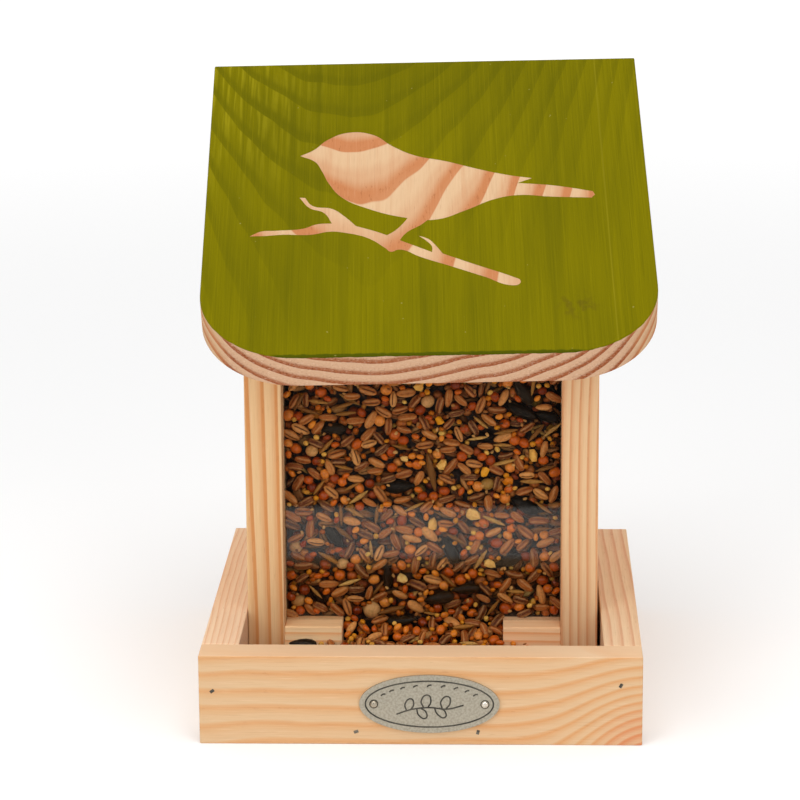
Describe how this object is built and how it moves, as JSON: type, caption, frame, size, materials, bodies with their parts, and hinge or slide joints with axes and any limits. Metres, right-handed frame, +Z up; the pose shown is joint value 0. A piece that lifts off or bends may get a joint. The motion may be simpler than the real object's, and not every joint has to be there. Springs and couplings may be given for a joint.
{
  "type": "bird feeder",
  "caption": "Free-standing pine bird feeder: square tray, seed hopper with a clear front pane, and a sloping roof board that hinges open at the back.",
  "frame": {"origin": "centre of the tray's underside, on the surface that the feeder stands on", "axes": "+Z up, the open front of the tray faces -Y, +X to the right seen from the front"},
  "size_m": [0.1847, 0.1856, 0.2486],
  "materials": {
    "tray_pine": "planed, untreated",
    "house_pine": "planed, untreated",
    "stained_roof": "olive green wood stain on top, bare edges",
    "clear_pane": "clear, smooth",
    "hinge_metal": "zinc plated",
    "nail_metal": "dull",
    "badge_metal": "dark patina",
    "seed": "loose mixed seed"
  },
  "bodies": {
    "feeder": {"floor_board": "tray_pine", "front_rail": "tray_pine", "left_rail": "tray_pine", "right_rail": "tray_pine", "left_wall": "house_pine", "right_wall": "house_pine", "back_board": "house_pine", "left_pane_block": "house_pine", "right_pane_block": "house_pine", "left_hinge_fixed_leaf": "hinge_metal", "left_hinge_pin": "hinge_metal", "right_hinge_fixed_leaf": "hinge_metal", "right_hinge_pin": "hinge_metal", "back_hinge_screws": "hinge_metal", "front_rail_brads": "nail_metal", "left_rail_brads": "nail_metal", "right_rail_brads": "nail_metal", "floor_nails": "nail_metal", "back_board_nails": "nail_metal", "oval_badge": "badge_metal", "badge_nails": "badge_metal", "seed_fill": "seed", "seed_spill": "seed"},
    "roof": {"roof_board": "stained_roof", "left_hinge_moving_leaf": "hinge_metal", "right_hinge_moving_leaf": "hinge_metal", "roof_hinge_screws": "hinge_metal"},
    "pane": {"front_pane": "clear_pane"}
  },
  "joints": [
    {"name": "roof_hinge", "type": "hinge", "parent": "feeder", "child": "roof", "pos_m": [0, 0.09155, 0.23533], "axis": [-1, 0, 0], "range_deg": [0, 220]},
    {"name": "pane_lift", "type": "slide", "parent": "feeder", "child": "pane", "axis": [0, 0, 1], "range_m": [0, 0.0025]}
  ]
}
